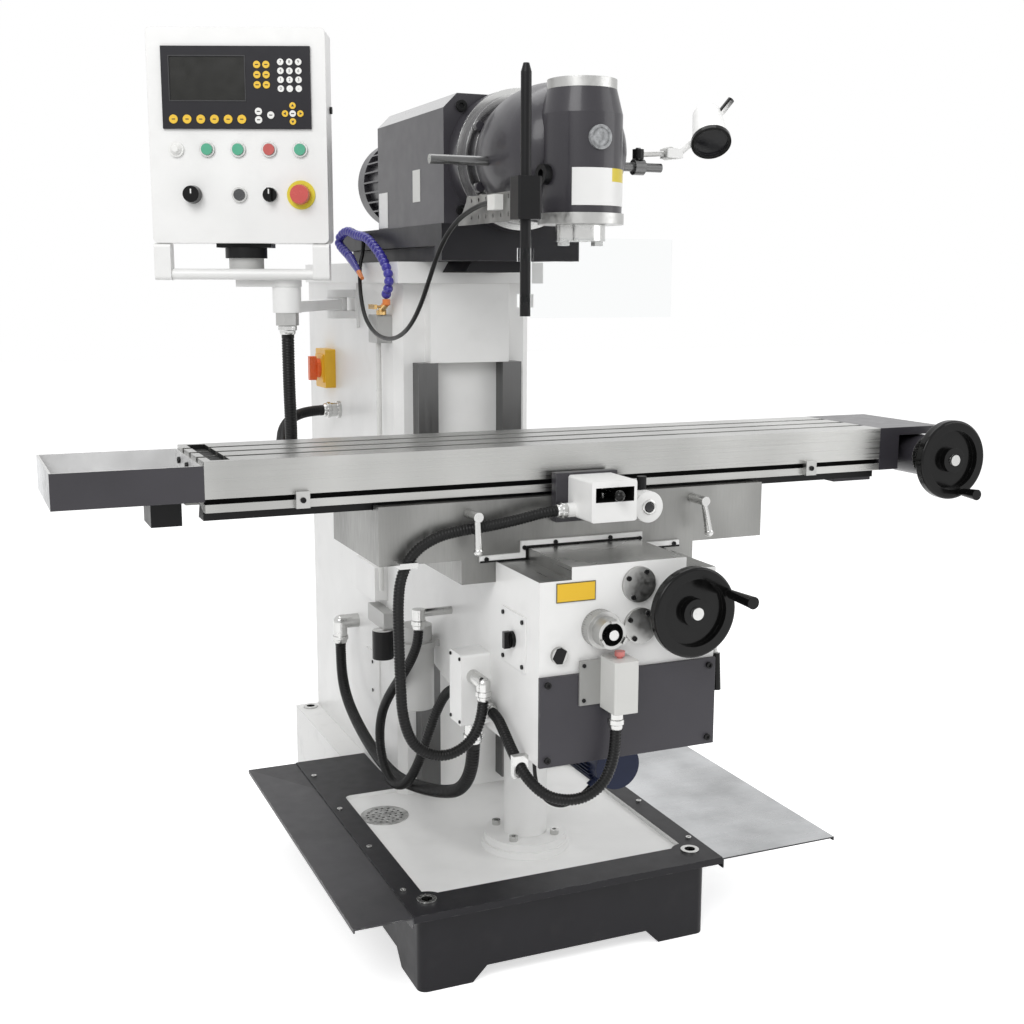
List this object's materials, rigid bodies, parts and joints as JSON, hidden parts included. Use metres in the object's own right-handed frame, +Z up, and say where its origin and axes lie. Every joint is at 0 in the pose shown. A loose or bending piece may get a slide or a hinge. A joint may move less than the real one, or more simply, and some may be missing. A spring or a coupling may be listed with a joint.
{
  "type": "milling_machine",
  "caption": "Knee-type milling machine with swivelling vertical head, powered table, swinging operator panel, drip base, work lamp and spindle guard.",
  "frame": {"origin": "on the floor, on the middle plane, halfway between the front and the rear foundation bolts", "axes": "+X along the table to the operator's right, +Y from the operator to the column, +Z up"},
  "size_m": [1.804, 1.648, 1.816],
  "materials": {
    "white_paint": "semi-gloss",
    "grey_paint": "semi-gloss",
    "dark_paint": "satin",
    "blue_paint": "semi-gloss",
    "ground_steel": "ground",
    "sheet_steel": "bright",
    "bright_steel": "polished",
    "black_steel": "satin",
    "black_plastic": "matte",
    "conduit_plastic": "matte",
    "blue_plastic": "satin",
    "red_plastic": "gloss",
    "green_plastic": "gloss",
    "white_plastic": "gloss",
    "clear_plastic": "clear",
    "brass": "satin"
  },
  "bodies": {
    "stand": {"base": "dark_paint", "deck_fittings": "bright_steel", "wings": "sheet_steel", "pedestal": "white_paint", "column": "white_paint", "column_ways": "ground_steel", "column_fittings": "white_paint", "coolant_pipe": "brass", "coolant_hose": "blue_plastic", "conduit_b": "conduit_plastic", "conduit_e": "conduit_plastic"},
    "main_switch": {"switch_handle": "red_plastic"},
    "tap": {"coolant_tap": "brass"},
    "arm": {"panel_arm": "white_paint"},
    "panel": {"panel_box": "white_paint", "readout": "black_plastic", "panel_bezels": "bright_steel"},
    "start_key": {"start_button": "green_plastic"},
    "feed_key": {"feed_button": "green_plastic"},
    "stop_key": {"stop_button": "red_plastic"},
    "return_key": {"return_button": "green_plastic"},
    "jog_key": {"jog_button": "black_plastic"},
    "speed_dial": {"speed_knob": "black_plastic"},
    "selector": {"selector_knob": "black_plastic"},
    "panel_stop": {"panel_estop": "red_plastic"},
    "ram_unit": {"ram": "grey_paint", "gearbox": "grey_paint", "drive_motor": "grey_paint", "swivel_ring": "ground_steel"},
    "head_unit": {"elbow": "grey_paint", "head": "grey_paint", "head_trim": "ground_steel", "head_handles": "black_steel", "guard_bracket": "black_steel", "interlock_cable": "conduit_plastic"},
    "guard_rod": {"guard_bar": "black_steel"},
    "guard": {"guard_shield": "clear_plastic"},
    "lamp_bracket": {"lamp_arm": "black_steel"},
    "lamp": {"lamp_head": "white_paint"},
    "spindle_unit": {"spindle": "bright_steel"},
    "knee_unit": {"knee": "white_paint", "knee_cover": "grey_paint", "knee_boxes": "white_paint", "knee_motors": "blue_paint", "knee_conduits": "conduit_plastic"},
    "lift": {"lift_screw": "ground_steel"},
    "cross_hand": {"cross_wheel": "black_steel"},
    "crank": {"knee_crank": "bright_steel"},
    "knee_stop": {"knee_estop": "red_plastic"},
    "knob": {"feed_knob": "black_plastic"},
    "side_lever": {"knee_lever": "black_steel"},
    "saddle_unit": {"saddle": "ground_steel", "feed_box": "white_paint", "conduit_a": "conduit_plastic"},
    "feed_hand": {"feed_lever": "black_steel"},
    "left_lock": {"lock_left": "bright_steel"},
    "right_lock": {"lock_right": "bright_steel"},
    "table_unit": {"table": "ground_steel", "table_ends": "dark_paint"},
    "x_hand": {"x_wheel": "black_steel"}
  },
  "joints": [
    {"name": "knee_lift", "type": "slide", "parent": "stand", "child": "knee_unit", "axis": [0, 0, 1], "range_m": [-0.13, 0.18], "deforming": ["conduit_b"]},
    {"name": "saddle_cross", "type": "slide", "parent": "knee_unit", "child": "saddle_unit", "axis": [0, 1, 0], "range_m": [-0.1, 0.2], "deforming": ["conduit_a"]},
    {"name": "table_traverse", "type": "slide", "parent": "saddle_unit", "child": "table_unit", "axis": [1, 0, 0], "range_m": [-0.24, 0.31]},
    {"name": "ram_travel", "type": "slide", "parent": "stand", "child": "ram_unit", "axis": [0, 1, 0], "range_m": [-0.1, 0.15], "deforming": ["interlock_cable"]},
    {"name": "head_swivel", "type": "hinge", "parent": "ram_unit", "child": "head_unit", "pos_m": [0, -0.385, 1.565], "axis": [0, 1, 0], "range_deg": [-45, 45], "deforming": ["interlock_cable"]},
    {"name": "spindle_turn", "type": "hinge", "parent": "head_unit", "child": "spindle_unit", "pos_m": [0, -0.65, 1.5], "axis": [0, 0, 1], "continuous": true},
    {"name": "guard_height", "type": "slide", "parent": "head_unit", "child": "guard_rod", "axis": [0, 0, 1], "range_m": [-0.04, 0.028]},
    {"name": "guard_swing", "type": "hinge", "parent": "guard_rod", "child": "guard", "pos_m": [-0.158, -0.763, 1.34], "axis": [0, 0, 1], "range_deg": [-95, 0]},
    {"name": "lamp_turn", "type": "hinge", "parent": "head_unit", "child": "lamp_bracket", "pos_m": [0.188, -0.515, 1.57], "axis": [0, 0, 1], "range_deg": [-40, 40]},
    {"name": "lamp_tilt", "type": "hinge", "parent": "lamp_bracket", "child": "lamp", "pos_m": [0.254, -0.515, 1.576], "axis": [0, 1, 0], "range_deg": [-25, 25]},
    {"name": "arm_swing", "type": "hinge", "parent": "stand", "child": "arm", "pos_m": [-0.206, 0.214, 1.277], "axis": [0, 0, 1], "range_deg": [-60, 5], "deforming": ["conduit_e"]},
    {"name": "panel_swivel", "type": "hinge", "parent": "arm", "child": "panel", "pos_m": [-0.408, -0.125, 1.33], "axis": [0, 0, 1], "range_deg": [-30, 30]},
    {"name": "start_press", "type": "slide", "parent": "panel", "child": "start_key", "axis": [0.3971, 0.9178, 0], "range_m": [0, 0.004], "stiffness_N_per_m": 600},
    {"name": "feed_press", "type": "slide", "parent": "panel", "child": "feed_key", "axis": [0.3971, 0.9178, 0], "range_m": [0, 0.004], "stiffness_N_per_m": 600},
    {"name": "stop_press", "type": "slide", "parent": "panel", "child": "stop_key", "axis": [0.3971, 0.9178, 0], "range_m": [0, 0.004], "stiffness_N_per_m": 600},
    {"name": "return_press", "type": "slide", "parent": "panel", "child": "return_key", "axis": [0.3971, 0.9178, 0], "range_m": [0, 0.004], "stiffness_N_per_m": 600},
    {"name": "jog_press", "type": "slide", "parent": "panel", "child": "jog_key", "axis": [0.3971, 0.9178, 0], "range_m": [0, 0.004], "stiffness_N_per_m": 600},
    {"name": "panel_stop_press", "type": "slide", "parent": "panel", "child": "panel_stop", "axis": [0.3971, 0.9178, 0], "range_m": [0, 0.005], "stiffness_N_per_m": 600},
    {"name": "speed_turn", "type": "hinge", "parent": "panel", "child": "speed_dial", "pos_m": [-0.58525, -0.10278, 1.498], "axis": [0.3971, 0.9178, 0], "range_deg": [-140, 140]},
    {"name": "selector_turn", "type": "hinge", "parent": "panel", "child": "selector", "pos_m": [-0.4453, -0.16334, 1.498], "axis": [0.3971, 0.9178, 0], "range_deg": [-45, 45]},
    {"name": "main_switch_turn", "type": "hinge", "parent": "stand", "child": "main_switch", "pos_m": [-0.19, 0.44, 1.114], "axis": [1, 0, 0], "range_deg": [0, 90]},
    {"name": "tap_turn", "type": "hinge", "parent": "stand", "child": "tap", "pos_m": [-0.194, -0.067, 1.276], "axis": [1, 0, 0], "range_deg": [0, 90]},
    {"name": "lift_screw_turn", "type": "hinge", "parent": "knee_unit", "child": "lift", "pos_m": [0, -0.42, 0.5], "axis": [0, 0, 1], "range_deg": [-13100, 9500]},
    {"name": "cross_wheel_turn", "type": "hinge", "parent": "knee_unit", "child": "cross_hand", "pos_m": [0.095, -0.925, 0.77], "axis": [0, 1, 0], "range_deg": [-7300, 14500]},
    {"name": "crank_turn", "type": "hinge", "parent": "knee_unit", "child": "crank", "pos_m": [-0.06, -0.912, 0.745], "axis": [0, 1, 0], "range_deg": [-18900, 26100]},
    {"name": "knee_stop_press", "type": "slide", "parent": "knee_unit", "child": "knee_stop", "axis": [0, 0, -1], "range_m": [0, 0.003], "stiffness_N_per_m": 600},
    {"name": "feed_knob_turn", "type": "hinge", "parent": "knee_unit", "child": "knob", "pos_m": [-0.175, -0.755, 0.71], "axis": [1, 0, 0], "range_deg": [-60, 60]},
    {"name": "knee_lever_swing", "type": "hinge", "parent": "knee_unit", "child": "side_lever", "pos_m": [0.172, -0.832, 0.702], "axis": [1, 0, 0], "range_deg": [-25, 25]},
    {"name": "feed_lever_swing", "type": "hinge", "parent": "saddle_unit", "child": "feed_hand", "pos_m": [0.008, -0.735, 0.961], "axis": [0, 0, 1], "range_deg": [-20, 20]},
    {"name": "left_lock_swing", "type": "hinge", "parent": "saddle_unit", "child": "left_lock", "pos_m": [-0.226, -0.67, 0.925], "axis": [0, 1, 0], "range_deg": [-15, 60]},
    {"name": "right_lock_swing", "type": "hinge", "parent": "saddle_unit", "child": "right_lock", "pos_m": [0.234, -0.67, 0.925], "axis": [0, 1, 0], "range_deg": [-60, 60]},
    {"name": "x_wheel_turn", "type": "hinge", "parent": "table_unit", "child": "x_hand", "pos_m": [0.797, -0.747, 0.978], "axis": [0, 1, 0], "range_deg": [-17500, 22500]}
  ],
  "couplings": [
    {"joint": "lift_screw_turn", "follows": "knee_lift", "rad_per_m": -1256.6},
    {"joint": "crank_turn", "follows": "knee_lift", "rad_per_m": 2513.3},
    {"joint": "cross_wheel_turn", "follows": "saddle_cross", "rad_per_m": 1256.6},
    {"joint": "x_wheel_turn", "follows": "table_traverse", "rad_per_m": 1256.6}
  ]
}
